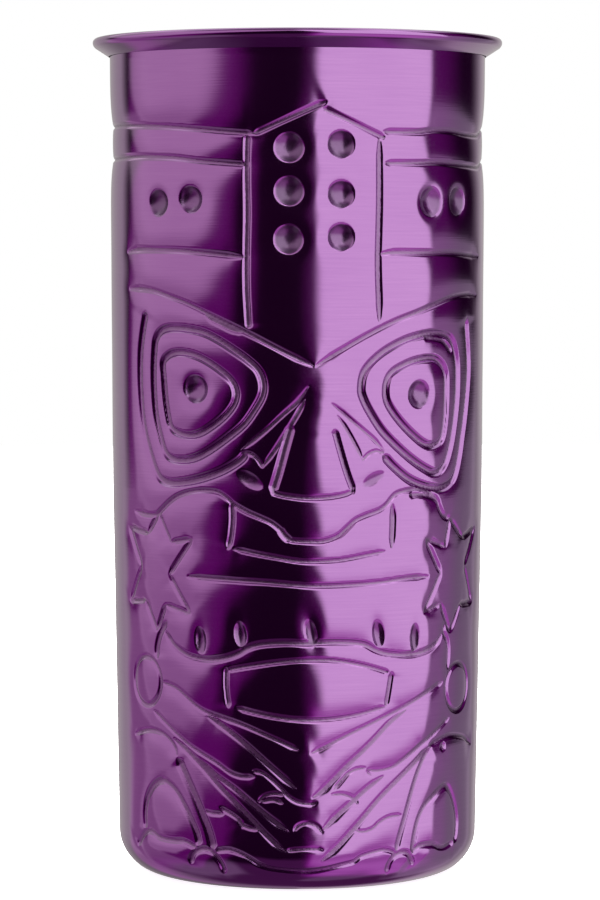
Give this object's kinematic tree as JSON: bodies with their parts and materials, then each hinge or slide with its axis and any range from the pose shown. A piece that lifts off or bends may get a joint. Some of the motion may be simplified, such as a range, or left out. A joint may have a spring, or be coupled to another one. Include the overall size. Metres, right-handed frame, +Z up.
{
  "type": "tiki mug",
  "caption": "Straight handleless metal tumbler with a carved tiki face pressed into its wall and a smooth cup hung inside from a rolled lip.",
  "frame": {"origin": "middle of the flat base, on the surface that the mug stands on", "axes": "+Z up along the mug's own axis, -Y out of the middle of the carved face, +X to that face's right as a viewer sees it"},
  "size_m": [0.0737, 0.0736, 0.15],
  "materials": {
    "purple_anodised_shell": "purple anodised over a brushed, pressed surface, satin",
    "purple_anodised_cup": "purple anodised over a smooth spun surface, satin"
  },
  "bodies": {
    "root": {"outer_shell": "purple_anodised_shell", "inner_cup": "purple_anodised_cup"}
  },
  "joints": []
}
